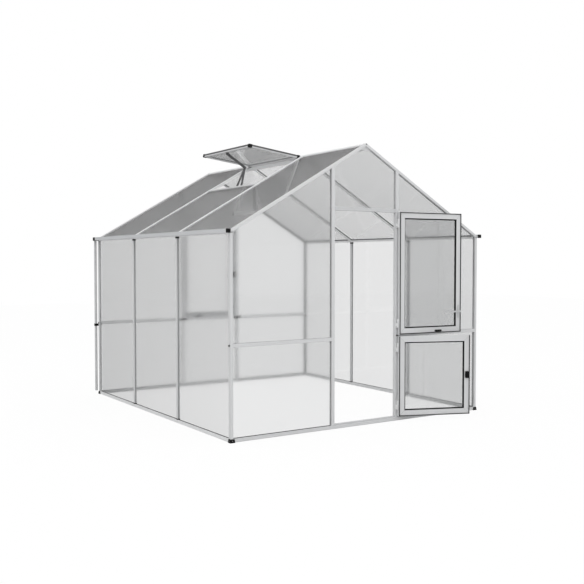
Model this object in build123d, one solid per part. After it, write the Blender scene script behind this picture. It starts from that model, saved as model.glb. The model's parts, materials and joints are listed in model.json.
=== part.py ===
from build123d import *
from math import cos, hypot, radians, sin, tan
import os

# Garden greenhouse with a gable roof, a stable door of two leaves, eaves gutters and a roof vent.
# Millimetres. The origin is on the ground in the middle of the doorway, under the front sill.
# +X is to the right seen from the door side, +Y runs to the rear gable, +Z is up.

# Overall frame, over the outer faces of the corner posts and the tops of the gable rafters
frame_width = 2464
frame_depth = 2690
ridge_height = 2246
roof_pitch = 30
bay_width = 896
overrun = 60

# Extruded bars: gable bars are as deep as the gable wall, side bars as deep as the side wall
gable_depth = 32
side_depth = 22
stud_face = 26
jamb_face = 28
rail_height = 26
rafter_height = 21
roof_bar_face = 22
roof_bar_height = 28
bar_wall = 2
edge_break = 1.5

# Sills: a raised face over a narrower strip that bears on the ground
sill_height = 28
sill_lift = 3
sill_strip = 14
threshold_rise = 12
threshold_width = 12

# Black corner feet that wrap the outer corner of each post
foot_height = 27
foot_floor = 4
foot_proud = 6
foot_reach = 34
foot_taper = 7

# Sheets of glazing and the grooves that hold their edges
sheet = 4
seat_gap = 0.25
sheet_bite = 6
groove_depth = 7
gable_recess = 18
side_recess = 7
roof_recess = 6

# Doorway, mid rails and header
doorway_width = 614
header_drop = 539
header_height = 28
mid_rail_bottom = 691

# Eaves, ridge and the end caps of the side studs
eaves_rail_height = 25
stud_cap_height = 15
stud_shoe_height = 8
stud_cap_proud = 1.5
ridge_half = 14
ridge_depth = 54
bar_overhang = 9
sheet_overhang = 7

# Gutters, end caps, outlets and downpipes
gutter_width = 39
gutter_height = 30
gutter_drop = 20
gutter_wall = 2
gutter_lip = 5
gutter_lead = 7
end_cap_thickness = 4
end_cap_proud = 0.5
pipe_radius = 12.5
pipe_wall = 1.6
pipe_back = 18
pipe_lift = 32
outlet_lead = 24
outlet_tail = 13
outlet_wall = 3
clip_height = 684
clip_tall = 22
clip_wall = 4
clip_plate = 4
clip_grip = 22

# Roof vent: lid, corner caps, hinge rod and opener arms
vent_length = 533
vent_sill_face = 28
lid_length = 515
lid_side_gap = 20
lid_depth = 24
lid_sink = 18
lid_bar = 30
lid_open_angle = 37.1
rod_radius = 5
rod_rise = 1
cap_size = 26
cap_wall = 2
opener_bar = 22
opener_leg = 15
opener_plate = 8
opener_pin_radius = 9
opener_pin_length = 26
knee_along = 304
knee_below = 117
lid_foot_along = 490
bracket_reach = 85
bracket_tall = 14
bracket_plate = 4
leg_shares = (0.33, 0.9)

# Stable door leaves and their hinges
leaf_width = 620
leaf_thickness = 25
leaf_stile = 50
leaf_gap = 8.5
leaf_foot = 40
leaf_split = 706
leaf_split_gap = 14
leaf_head_lap = 5
lower_rest_angle = 159
upper_rest_angle = 173.5
hinge_side_gap = 7
hinge_from_jamb = 7.5
hinge_inset = 92
hinge_tall = 70
hinge_plate = 3
hinge_plate_width = 15
hinge_web = 8
knuckle_radius = 6.5
pin_radius = 3
pin_clearance = 0.05
knuckle_gap = 0.3

# Handle and latches on the inner faces of the leaves
handle_rise = 175
handle_plate_width = 22
handle_plate_tall = 112
handle_plate_thickness = 4
handle_inset = 12
spindle_radius = 8
lever_length = 156
lever_tall = 14
lever_thickness = 8
lever_stand = 24
handle_round_share = 1 / 3
oval_width = 66
oval_tall = 16
oval_thickness = 14
oval_bevel_share = 1 / 3
door_oval_rise = 19
door_oval_share = 0.38
window_oval_rise = 19
window_oval_share = 0.71
latch_width = 30
latch_tall = 56
latch_thickness = 16
latch_nose = 10
latch_round_share = 0.25
latch_nose_share = 2 / 3
window_latch_rise = 456

# Places that follow from the sizes above
half_width = frame_width / 2
rear_y = frame_depth - gable_depth
front_face = -gable_depth / 2
rear_face = rear_y + gable_depth / 2
side_x = half_width - side_depth / 2
side_inner = half_width - side_depth
jamb_inner = doorway_width / 2
jamb_outer = jamb_inner + jamb_face
tilt = radians(roof_pitch)
eaves_height = ridge_height - half_width * tan(tilt)
eaves_bottom = eaves_height - eaves_rail_height
sheet_y = front_face + gable_recess + sheet / 2
sheet_x = half_width - side_recess - sheet / 2
sheet_v = -(roof_recess + sheet / 2)
groove_width = sheet + 2 * seat_gap
end_room = groove_depth - sheet_bite
roof_seat = roof_recess + sheet + seat_gap
bar_places = [rear_y / 2 - bay_width / 2, rear_y / 2 + bay_width / 2]
mid_rail_top = mid_rail_bottom + rail_height
header_bottom = ridge_height - header_drop
header_top = header_bottom + header_height
far = half_width + gutter_width + overrun
gutter_bottom = eaves_height - gutter_drop
gutter_mid = half_width + gutter_width / 2
pipe_y = rear_face + pipe_back

# Planes along and across the right-hand roof slope; the roof line is the top of the rafters
ridge_point = (0, 0, ridge_height)
down = (cos(tilt), 0, -sin(tilt))
slope_run = Plane(origin=ridge_point, x_dir=(0, 1, 0), z_dir=down)
slope_section = Plane(origin=ridge_point, x_dir=down, z_dir=(0, -1, 0))


def area(x0, x1, y0, y1):
    """Rectangle between two pairs of limits."""
    return Pos((x0 + x1) / 2, (y0 + y1) / 2) * Rectangle(x1 - x0, y1 - y0)


def eased(outline):
    """The outline with its sharp corners broken."""
    return chamfer(outline.vertices(), edge_break)


def upright(profile, z0, z1):
    """Bar standing on end: the profile is drawn in plan."""
    return extrude(Plane.XY.offset(z0) * profile, amount=z1 - z0)


def along_x(profile, x0, x1):
    """Bar running across: the profile is drawn with Y to the right and Z up."""
    return extrude(Plane.YZ.offset(x0) * profile, amount=x1 - x0)


def along_y(profile, y0, y1):
    """Bar running to the rear: the profile is drawn with X to the right and Z up."""
    return extrude(Plane.XZ.offset(-y0) * profile, amount=-(y1 - y0))


def down_slope(profile, s0, s1):
    """Bar running down the right-hand slope: drawn with Y to the right and the roof line at the top."""
    return extrude(slope_run.offset(s0) * profile, amount=s1 - s0)


def across_slope(profile, y0, y1):
    """Bar running across the right-hand slope: drawn with the way down to the right."""
    return extrude(slope_section.offset(-y0) * profile, amount=-(y1 - y0))


def roof_outline(drop):
    """Gable outline up to a depth below the roof line, measured square to the slope."""
    peak = ridge_height - drop / cos(tilt)
    foot = peak - far * tan(tilt)
    return Polygon((-far, -overrun), (far, -overrun), (far, foot), (0, peak), (-far, foot), align=None)


def under_roof(drop):
    """Everything below that outline, over the whole length."""
    return along_y(roof_outline(drop), front_face - overrun, rear_face + overrun)


def within_x(x0, x1):
    """Upright slab that trims a bar with plumb cuts."""
    tall = area(x0, x1, -overrun, ridge_height + overrun)
    return along_y(tall, front_face - overrun, rear_face + overrun)


def mirrored(part):
    """The same piece on the other side of the doorway."""
    return mirror(part, about=Plane.YZ)


def turned(part):
    """A front wall piece turned half round to stand in the rear wall."""
    return Pos(0, rear_y, 0) * Rot(0, 0, 180) * part


def save(name, pieces):
    """Write one node; several loose pieces go in together."""
    shape = pieces if not isinstance(pieces, list) else Compound(children=pieces)
    export_step(shape, os.path.join("parts", name + ".step"))


# Profiles of the gable bars: a hollow box in front of the sheet and a lip behind it
def gable_bar(face, groove_sides):
    """Upright gable bar in plan, with a sheet groove in each named side."""
    hollow_back = sheet_y - groove_width / 2 - bar_wall
    hollow = area(-face / 2 + bar_wall, face / 2 - bar_wall, front_face + bar_wall, hollow_back)
    bar = eased(Rectangle(face, gable_depth)) - hollow
    for side in groove_sides:
        bar -= Pos(side * (face - groove_depth) / 2, sheet_y) * Rectangle(groove_depth, groove_width)
    return bar


def gable_rail(bottom, height, groove_ends):
    """Level gable rail in section, with a sheet groove in its top (1) or bottom (-1)."""
    hollow_back = sheet_y - groove_width / 2 - bar_wall
    hollow = area(front_face + bar_wall, hollow_back, bar_wall - height / 2, height / 2 - bar_wall)
    rail = eased(Rectangle(gable_depth, height)) - hollow
    for end in groove_ends:
        rail -= Pos(sheet_y, end * (height - groove_depth) / 2) * Rectangle(groove_width, groove_depth)
    return Pos(0, bottom + height / 2) * rail


def sill_section(width, groove_place):
    """Sill in section: raised face, bearing strip, sheet groove in the top."""
    face = eased(area(-width / 2, width / 2, sill_lift, sill_height))
    strip = area(-sill_strip / 2, sill_strip / 2, 0, sill_lift + bar_wall)
    groove = area(groove_place - groove_width / 2, groove_place + groove_width / 2,
                  sill_height - groove_depth, sill_height)
    return face + strip - groove


# Sills
front_sill = along_x(sill_section(gable_depth, sheet_y), -side_inner, side_inner)
groove_fill = area(sheet_y - groove_width / 2, sheet_y + groove_width / 2, sill_height - groove_depth, sill_height)
threshold = area(-threshold_width / 2, threshold_width / 2, sill_height, sill_height + threshold_rise)
front_sill += along_x(groove_fill, -jamb_inner, jamb_inner)
front_sill += along_x(eased(threshold), -jamb_inner, jamb_inner)
rear_sill = turned(along_x(sill_section(gable_depth, sheet_y), -side_inner, side_inner))
side_section = Pos(side_x, 0) * sill_section(side_depth, sheet_x - side_x)
right_sill = along_y(side_section, -front_face, rear_y + front_face)

# Corner feet: a tapered boot on the two outer faces and a floor under the post
foot_plan = area(half_width - foot_reach, half_width + foot_proud, front_face - foot_proud, front_face + foot_reach)
boot = extrude(foot_plan, amount=foot_height, taper=foot_taper)
boot -= upright(area(0, half_width, front_face, rear_y), 0, foot_height + overrun)
boot += upright(area(side_inner, half_width, front_face, -front_face), 0, foot_floor)
front_feet = [boot, mirrored(boot)]
corner_feet = front_feet + [turned(foot) for foot in front_feet]

# Corner posts: grooves for the gable sheet and for the side sheet, top cut under the rafter
post_profile = eased(Rectangle(side_depth, gable_depth))
post_hollow_back = sheet_y - groove_width / 2 - bar_wall
post_profile -= area(-side_depth / 2 + bar_wall, side_depth / 2 - bar_wall, front_face + bar_wall, post_hollow_back)
post_profile -= Pos((groove_depth - side_depth) / 2, sheet_y) * Rectangle(groove_depth, groove_width)
post_profile -= Pos(sheet_x - side_x, (gable_depth - groove_depth) / 2) * Rectangle(groove_width, groove_depth)
below_rafters = under_roof(rafter_height)
post = upright(Pos(side_x, 0) * post_profile, foot_floor, ridge_height) & below_rafters
front_posts = [post, mirrored(post)]
corner_posts = front_posts + [turned(each) for each in front_posts]

# Side studs between the sill and the eaves rail, with plastic caps at both ends
stud_profile = eased(Rectangle(side_depth, stud_face))
stud_hollow_edge = sheet_x - side_x - groove_width / 2 - bar_wall
stud_profile -= area(-side_depth / 2 + bar_wall, stud_hollow_edge, bar_wall - stud_face / 2, stud_face / 2 - bar_wall)
cap_profile = Rectangle(side_depth + 2 * stud_cap_proud, stud_face)
for side in (-1, 1):
    stud_groove = Pos(sheet_x - side_x, side * (stud_face - groove_depth) / 2) * Rectangle(groove_width, groove_depth)
    stud_profile -= stud_groove
    cap_profile -= stud_groove
right_studs = []
right_caps = []
for place in bar_places:
    spot = Pos(side_x, place)
    right_studs.append(upright(spot * stud_profile, sill_height + stud_shoe_height, eaves_bottom - stud_cap_height))
    right_caps.append(upright(spot * cap_profile, sill_height, sill_height + stud_shoe_height))
    right_caps.append(upright(spot * cap_profile, eaves_bottom - stud_cap_height, eaves_bottom))
side_studs = right_studs + [mirrored(each) for each in right_studs]
stud_caps = right_caps + [mirrored(each) for each in right_caps]

# Eaves rails: sloping top under the roof sheets, groove below for the side sheets
rail_area = area(side_inner, half_width, eaves_bottom, ridge_height) & roof_outline(roof_seat)
rail_groove = area(sheet_x - groove_width / 2, sheet_x + groove_width / 2, eaves_bottom, eaves_bottom + groove_depth)
right_eaves_rail = along_y(rail_area - rail_groove, -front_face, rear_y + front_face)
eaves_rails = [right_eaves_rail, mirrored(right_eaves_rail)]

# Gable rafters, mitred at the ridge and cut plumb at the eaves
rafter_hollow_back = sheet_y - groove_width / 2 - bar_wall
rafter_profile = eased(Pos(0, -rafter_height / 2) * Rectangle(gable_depth, rafter_height))
rafter_profile -= area(front_face + bar_wall, rafter_hollow_back, bar_wall - rafter_height, -bar_wall)
rafter_profile -= Pos(sheet_y, groove_depth / 2 - rafter_height) * Rectangle(groove_width, groove_depth)
rafter_profile -= Pos((gable_depth - groove_depth) / 2, sheet_v) * Rectangle(groove_depth, groove_width)
slope_length = half_width / cos(tilt)
front_right_rafter = down_slope(rafter_profile, 0, slope_length + rafter_height) & within_x(0, half_width)
front_left_rafter = mirrored(front_right_rafter)
right_rafters = [front_right_rafter, turned(front_left_rafter)]
left_rafters = [front_left_rafter, turned(front_right_rafter)]

# Ridge beam between the gable rafters, with a slanting groove on each side for the roof sheets
ridge_sheet_top = (ridge_half - sheet_v * sin(tilt)) / cos(tilt) - sheet_bite
ridge_area = area(-ridge_half, ridge_half, ridge_height - ridge_depth, ridge_height) & roof_outline(0)
ridge_groove = area(ridge_sheet_top - end_room, ridge_sheet_top + overrun, sheet_v - groove_width / 2,
                    sheet_v + groove_width / 2)
ridge_groove = Pos(0, ridge_height) * Rot(0, 0, -roof_pitch) * ridge_groove
ridge_hollow_top = ridge_height - roof_seat / cos(tilt) - ridge_half * tan(tilt) - groove_depth
ridge_hollow = area(bar_wall - ridge_half, ridge_half - bar_wall, ridge_height - ridge_depth + bar_wall, ridge_hollow_top)
ridge_profile = ridge_area - ridge_groove - mirror(ridge_groove, about=Plane.YZ) - ridge_hollow
ridge_beam = along_y(ridge_profile, -front_face, rear_y + front_face)

# Roof bars: grooved on both sides, notched over the eaves rail
bar_profile = eased(Pos(0, -roof_bar_height / 2) * Rectangle(roof_bar_face, roof_bar_height))
for side in (-1, 1):
    bar_profile -= Pos(side * (roof_bar_face - groove_depth) / 2, sheet_v) * Rectangle(groove_depth, groove_width)
bar_trim = within_x(ridge_half, half_width + bar_overhang)
eaves_notch = under_roof(roof_seat) & within_x(side_inner, far)
right_roof_bars = []
for place in bar_places:
    roof_bar = down_slope(Pos(place, 0) * bar_profile, 0, slope_length + overrun)
    right_roof_bars.append((roof_bar & bar_trim) - eaves_notch)
left_roof_bars = [mirrored(each) for each in right_roof_bars]

# Sill of the vent opening, grooved below for the short roof sheet
vent_sill_end = vent_length + vent_sill_face
vent_profile = eased(area(vent_length, vent_sill_end, -roof_bar_height, 0))
vent_profile -= area(vent_sill_end - groove_depth, vent_sill_end, sheet_v - groove_width / 2, sheet_v + groove_width / 2)
vent_from = bar_places[0] + roof_bar_face / 2
vent_to = bar_places[1] - roof_bar_face / 2
vent_sill = mirrored(across_slope(vent_profile, vent_from, vent_to))

# Door jambs, rear posts, header and rails
def jamb(groove_top):
    """Right-hand jamb from the sill to the rafter, grooved for the sheet over the header too."""
    bar = upright(Pos(jamb_inner + jamb_face / 2, 0) * gable_bar(jamb_face, [1]), sill_height, ridge_height)
    inner_groove = area(jamb_inner, jamb_inner + groove_depth, sheet_y - groove_width / 2, sheet_y + groove_width / 2)
    return (bar & below_rafters) - upright(inner_groove, groove_top - groove_depth, ridge_height)


right_jamb = jamb(header_top)
door_jambs = [right_jamb, mirrored(right_jamb)]
low_groove = area(jamb_inner, jamb_inner + groove_depth, sheet_y - groove_width / 2, sheet_y + groove_width / 2)
rear_post = right_jamb - upright(low_groove, sill_height, mid_rail_bottom + groove_depth)
rear_posts = [turned(rear_post), turned(mirrored(rear_post))]
door_header = along_x(gable_rail(header_bottom, header_height, [1]), -jamb_inner, jamb_inner)
side_rail = along_x(gable_rail(mid_rail_bottom, rail_height, [-1, 1]), jamb_outer, side_inner)
front_mid_rails = [side_rail, mirrored(side_rail)]
middle_rail = along_x(gable_rail(mid_rail_bottom, rail_height, [-1]), -jamb_inner, jamb_inner)
rear_rails = [turned(piece) for piece in front_mid_rails + [middle_rail, door_header]]


# Sheets of the gables, each edge a bite deep in its groove
def gable_sheet(x0, x1, z0, z1):
    """Gable sheet between clear limits; its head follows the rafters."""
    whole = area(x0 - sheet_bite, x1 + sheet_bite, z0 - groove_depth + seat_gap, z1 + sheet_bite)
    headed = whole & roof_outline(rafter_height - sheet_bite)
    return along_y(headed, sheet_y - sheet / 2, sheet_y + sheet / 2)


low_pane = gable_sheet(jamb_outer, side_inner, sill_height, mid_rail_bottom)
high_pane = gable_sheet(jamb_outer, side_inner, mid_rail_top, ridge_height)
head_pane = gable_sheet(-jamb_inner, jamb_inner, header_top, ridge_height)
side_panes = [low_pane, high_pane, mirrored(low_pane), mirrored(high_pane)]
front_panes = side_panes + [head_pane]
middle_pane = gable_sheet(-jamb_inner, jamb_inner, sill_height, mid_rail_bottom)
rear_panes = [turned(piece) for piece in front_panes + [middle_pane]]

# Sheets of the side walls, full height in three bays
wall_edges = [-front_face]
roof_edges = [-front_face]
for place in bar_places:
    wall_edges += [place - stud_face / 2, place + stud_face / 2]
    roof_edges += [place - roof_bar_face / 2, place + roof_bar_face / 2]
wall_edges.append(rear_y + front_face)
roof_edges.append(rear_y + front_face)
wall_bays = list(zip(wall_edges[0::2], wall_edges[1::2]))
roof_bays = list(zip(roof_edges[0::2], roof_edges[1::2]))
rafter_under = ridge_height - rafter_height / cos(tilt) - (sheet_x + sheet / 2) * tan(tilt)
wall_pane_head = min(eaves_bottom + sheet_bite, rafter_under - seat_gap)
right_wall_panes = []
for near, away in wall_bays:
    plan = area(sheet_x - sheet / 2, sheet_x + sheet / 2, near - sheet_bite, away + sheet_bite)
    pane = upright(plan, sill_height - groove_depth + seat_gap, wall_pane_head)
    right_wall_panes.append(pane)
left_wall_panes = [mirrored(each) for each in right_wall_panes]


# Roof sheets from the ridge groove to just past the eaves rail
def roof_sheet(bay, start):
    """Right-hand roof sheet in one bay, from a distance down the slope to the eaves."""
    section = area(start, (half_width + sheet_overhang) / cos(tilt), sheet_v - sheet / 2, sheet_v + sheet / 2)
    return across_slope(section, bay[0] - sheet_bite, bay[1] + sheet_bite)


right_roof_panes = [roof_sheet(bay, ridge_sheet_top) for bay in roof_bays]
vent_bay_top = vent_sill_end - sheet_bite
left_tops = [ridge_sheet_top, vent_bay_top, ridge_sheet_top]
left_roof_panes = [mirrored(roof_sheet(bay, top)) for bay, top in zip(roof_bays, left_tops)]

# Gutters: open trough outside each eaves rail, lower at the back where the roof drips in
gutter_top = gutter_bottom + gutter_height
gutter_outer = half_width + gutter_width
back_top = ridge_height - (roof_seat + seat_gap) / cos(tilt) - (half_width + gutter_wall) * tan(tilt)
trough = area(half_width, gutter_outer, gutter_bottom, gutter_top)
trough -= area(half_width + gutter_wall, gutter_outer - gutter_wall, gutter_bottom + gutter_wall, gutter_top)
trough -= area(half_width, half_width + gutter_wall, back_top, gutter_top)
trough += area(gutter_outer - gutter_lip, gutter_outer, gutter_top - gutter_wall, gutter_top)
gutter_from = front_face - gutter_lead
gutter_to = rear_face - outlet_lead
right_gutter = along_y(trough, gutter_from, gutter_to)
left_gutter = mirrored(right_gutter)

# End cap at the front of each gutter; at the rear an open box whose floor leads into the downpipe
outlet_spot = Pos(gutter_mid, pipe_y)
outlet_end = pipe_y + outlet_tail
outlet_floor = gutter_bottom - outlet_wall
cap_area = eased(area(half_width + gutter_wall, gutter_outer + end_cap_proud, gutter_bottom, gutter_top))
end_cap = along_y(cap_area, gutter_from - end_cap_thickness, gutter_from)
outlet_area = area(half_width, gutter_outer + end_cap_proud, outlet_floor, gutter_top)
pocket_area = area(half_width + gutter_wall, gutter_outer - gutter_wall, gutter_bottom + gutter_wall, gutter_top)
outlet_box = along_y(outlet_area, gutter_to, outlet_end)
outlet_box -= along_y(pocket_area, gutter_to, outlet_end - outlet_wall)
outlet_box -= upright(outlet_spot * Circle(pipe_radius - pipe_wall), outlet_floor, gutter_top)
gutter_fittings = [end_cap, outlet_box, mirrored(end_cap), mirrored(outlet_box)]

# Downpipes and the clips that tie them to the rear posts
pipe_ring = Circle(pipe_radius) - Circle(pipe_radius - pipe_wall)
right_pipe = upright(outlet_spot * pipe_ring, pipe_lift, outlet_floor)
downpipes = [right_pipe, mirrored(right_pipe)]
clip_plan = outlet_spot * Circle(pipe_radius + clip_wall)
clip_plan += area(half_width - clip_grip, gutter_mid, rear_face, rear_face + clip_plate)
clip_plan -= outlet_spot * Circle(pipe_radius)
right_clip = upright(clip_plan, clip_height - clip_tall / 2, clip_height + clip_tall / 2)
downpipe_clips = [right_clip, mirrored(right_clip)]

# Vent lid, modelled on the right-hand slope about its hinge rod, then mirrored to the left
rod_x = ridge_half + rod_radius + seat_gap
rod_z = ridge_height - rod_x * tan(tilt) + rod_rise / cos(tilt)
lid_angle = radians(lid_open_angle - roof_pitch)
lid_plane = Plane(origin=(rod_x, rear_y / 2, rod_z), x_dir=(cos(lid_angle), 0, sin(lid_angle)),
                  z_dir=(-sin(lid_angle), 0, cos(lid_angle)))
lid_start = rod_radius + seat_gap
lid_end = lid_start + lid_length
lid_low = -lid_sink
lid_high = lid_depth - lid_sink
lid_mid = (lid_low + lid_high) / 2


def lid_slab(t0, t1, half, w0, w1):
    """Slab in the lid's own plane, centred on the vent."""
    return extrude(lid_plane.offset(w0) * area(t0, t1, -half, half), amount=w1 - w0)


lid_half = bay_width / 2 - lid_side_gap
ring_start = lid_start + lid_bar
ring_end = lid_end - lid_bar
ring_half = lid_half - lid_bar
lid_block = lid_slab(lid_start, lid_end, lid_half, lid_low, lid_high)
lid_opening = lid_slab(ring_start, ring_end, ring_half, lid_low - overrun, lid_high + overrun)
lid_groove = lid_slab(ring_start - groove_depth, ring_end + groove_depth, ring_half + groove_depth,
                      lid_mid - groove_width / 2, lid_mid + groove_width / 2)
vent_frame = mirrored(lid_block - lid_opening - lid_groove)
vent_pane = mirrored(lid_slab(ring_start - sheet_bite, ring_end + sheet_bite, ring_half + sheet_bite,
                              lid_mid - sheet / 2, lid_mid + sheet / 2))
rod_section = Pos(rod_x, rod_z) * Circle(rod_radius)
vent_hinge_rod = mirrored(along_y(rod_section, vent_from, vent_to))

# Black caps that wrap the four corners of the lid
vent_caps = []
for t0, t1 in ((lid_start, lid_start + cap_size), (lid_end - cap_size, lid_end + cap_wall)):
    for side in (-1, 1):
        edges = sorted([side * (lid_half + cap_wall), side * (lid_half - cap_size)])
        outline = area(t0, t1, edges[0], edges[1])
        cap = extrude(lid_plane.offset(lid_low - cap_wall) * outline, amount=lid_depth + 2 * cap_wall)
        vent_caps.append(mirrored(cap - lid_block))

# Vent opener: level bracket inside the vent sill, two legs to a knee, one arm to a foot under the lid's outer bar
foot_drop = max(opener_pin_radius, opener_bar / 2)
lid_foot = lid_plane.from_local_coords((lid_foot_along + lid_start, 0, lid_low - foot_drop))
knee = lid_plane.from_local_coords((knee_along, 0, -knee_below))
sill_grip = slope_section.from_local_coords((vent_length, -roof_bar_height / 2, 0))
bracket_tip = sill_grip - Vector(bracket_reach, 0, 0)


def flat_bar(start, end, width):
    """Flat bar with round ends between two points in the lid's swing plane."""
    run = hypot(end.X - start.X, end.Z - start.Z)
    plane = Plane(origin=(start.X, rear_y / 2, start.Z), x_dir=(end.X - start.X, 0, end.Z - start.Z), z_dir=(0, -1, 0))
    shape = area(0, run, -width / 2, width / 2) + Circle(width / 2) + Pos(run, 0) * Circle(width / 2)
    return extrude(plane * shape, amount=opener_plate / 2, both=True)


seat_area = area(vent_length - bracket_plate, vent_length, edge_break - roof_bar_height, -edge_break)
opener = across_slope(seat_area, rear_y / 2 - opener_pin_length / 2, rear_y / 2 + opener_pin_length / 2)
bracket_root = sill_grip - Vector(bracket_tall / 2 / cos(tilt), 0, 0)
opener += flat_bar(bracket_tip, bracket_root, bracket_tall)
for share in leg_shares:
    opener += flat_bar(sill_grip + (bracket_tip - sill_grip) * share, knee, opener_leg)
opener += flat_bar(knee, lid_foot, opener_bar)
for joint in (knee, lid_foot):
    disc = Pos(joint.X, joint.Z) * Circle(opener_pin_radius)
    opener += along_y(disc, rear_y / 2 - opener_pin_length / 2, rear_y / 2 + opener_pin_length / 2)
foot_block = lid_slab(lid_foot_along + lid_start - opener_pin_radius, lid_end - lid_bar / 2, opener_pin_length / 2,
                      lid_low - foot_drop, lid_low)
vent_opener = mirrored(opener + foot_block)

# Door leaves, modelled shut in front of the jambs and swung open about the hinge axis
axis_x = jamb_inner + hinge_from_jamb
leaf_inner = front_face - leaf_gap
leaf_outer = leaf_inner - leaf_thickness
axis_y = (leaf_inner + leaf_outer) / 2
leaf_right = axis_x - hinge_side_gap
leaf_left = leaf_right - leaf_width
lower_span = (leaf_foot, leaf_split - leaf_split_gap / 2)
upper_span = (leaf_split + leaf_split_gap / 2, header_bottom + leaf_head_lap)
handle_height = upper_span[0] + handle_rise


def swung(part, angle):
    """A leaf piece turned about the hinge axis."""
    return Pos(axis_x, axis_y, 0) * Rot(0, 0, angle) * Pos(-axis_x, -axis_y, 0) * part


def leaf_frame(span):
    """Mitred frame of one leaf with the sheet groove round its inside."""
    clear = (leaf_left + leaf_stile, leaf_right - leaf_stile, span[0] + leaf_stile, span[1] - leaf_stile)
    ring = along_y(area(leaf_left, leaf_right, *span) - area(*clear), leaf_outer, leaf_inner)
    for face in (ring.faces().sort_by(Axis.Y)[0], ring.faces().sort_by(Axis.Y)[-1]):
        ring = chamfer(face.edges(), edge_break)
    slot = area(clear[0] - groove_depth, clear[1] + groove_depth, clear[2] - groove_depth, clear[3] + groove_depth)
    return ring - along_y(slot, axis_y - groove_width / 2, axis_y + groove_width / 2)


def leaf_pane(span):
    """Sheet of one leaf."""
    inset = leaf_stile - sheet_bite
    outline = area(leaf_left + inset, leaf_right - inset, span[0] + inset, span[1] - inset)
    return along_y(outline, axis_y - sheet / 2, axis_y + sheet / 2)


def hinge_places(span):
    """Heights of the hinge middles on one leaf."""
    return [span[0] + hinge_inset, span[1] - hinge_inset]


def jamb_hinge(middle):
    """Jamb half of a hinge: plate, lower knuckle and the pin that stands up through the leaf's knuckle."""
    bottom = middle - hinge_tall / 2
    plate = area(axis_x - hinge_plate_width / 2, axis_x + hinge_plate_width / 2, front_face - hinge_plate, front_face)
    web = area(axis_x - hinge_web / 2, axis_x + hinge_web / 2, axis_y, front_face)
    half = upright(plate, bottom, bottom + hinge_tall)
    half += upright(web + Pos(axis_x, axis_y) * Circle(knuckle_radius), bottom, middle)
    return half + upright(Pos(axis_x, axis_y) * Circle(pin_radius), bottom, bottom + hinge_tall)


def leaf_hinge(middle):
    """Leaf half of a hinge: upper knuckle and the web that seats on the leaf's edge."""
    web = area(leaf_right, axis_x, axis_y - hinge_web / 2, axis_y + hinge_web / 2)
    knuckle = Pos(axis_x, axis_y) * Circle(knuckle_radius) + web
    knuckle -= Pos(axis_x, axis_y) * Circle(pin_radius + pin_clearance)
    return upright(knuckle, middle + knuckle_gap, middle + hinge_tall / 2)


def lever_handle():
    """Plate, spindle and flat lever on the inner face of the upper leaf's free stile."""
    left = leaf_left + handle_inset
    plate_back = leaf_inner + handle_plate_thickness
    plate = area(left, left + handle_plate_width, handle_height - handle_plate_tall / 2,
                 handle_height + handle_plate_tall / 2)
    plate = fillet(plate.vertices(), handle_plate_width * handle_round_share)
    handle = along_y(plate, leaf_inner, plate_back)
    middle = left + handle_plate_width / 2
    handle += along_y(Pos(middle, handle_height) * Circle(spindle_radius), leaf_inner, leaf_inner + lever_stand)
    lever = area(middle - spindle_radius, middle + lever_length, handle_height - lever_tall / 2,
                 handle_height + lever_tall / 2)
    lever = fillet(lever.vertices(), lever_tall * handle_round_share)
    return handle + along_y(lever, leaf_inner + lever_stand - lever_thickness, leaf_inner + lever_stand)


def oval_latch(place_share, rise):
    """Oval turn latch on the bottom rail of the upper leaf or the rear window."""
    middle = Pos(leaf_left + place_share * leaf_width, upper_span[0] + rise)
    knob = along_y(middle * SlotOverall(oval_width, oval_tall), leaf_inner, leaf_inner + oval_thickness)
    return chamfer(knob.faces().sort_by(Axis.Y)[-1].edges(), oval_thickness * oval_bevel_share)


def stile_latch(middle):
    """Latch body with a thumb nose, at a height on the free stile of the lower leaf or the rear window."""
    left = leaf_left + handle_inset
    body = area(left, left + latch_width, middle - latch_tall / 2, middle + latch_tall / 2)
    block = along_y(fillet(body.vertices(), latch_width * latch_round_share), leaf_inner, leaf_inner + latch_thickness)
    nose_tall = latch_tall * latch_nose_share
    nose = area(left + latch_width / 2 - latch_nose / 2, left + latch_width / 2 + latch_nose / 2,
                middle - nose_tall / 2, middle + nose_tall / 2)
    return block + along_y(nose, leaf_inner, leaf_inner + latch_thickness + latch_nose)


def on_leaf(pieces, angle):
    """Pieces of one leaf, swung to where the leaf stands."""
    return [swung(piece, angle) for piece in pieces]


upper_hinges = [leaf_hinge(place) for place in hinge_places(upper_span)]
lower_hinges = [leaf_hinge(place) for place in hinge_places(lower_span)]
jamb_hinges = [jamb_hinge(place) for place in hinge_places(lower_span) + hinge_places(upper_span)]
lower_latch = stile_latch((lower_span[0] + lower_span[1]) / 2)

# Rear window: the same leaf as the upper door leaf, shut against the rear posts
shut = Pos(0, leaf_gap - seat_gap, 0)
window_latch = oval_latch(window_oval_share, window_oval_rise)
window_handle = stile_latch(upper_span[0] + window_latch_rise)
window_hinges = [shut * leaf_hinge(place) for place in hinge_places(upper_span)]

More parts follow.
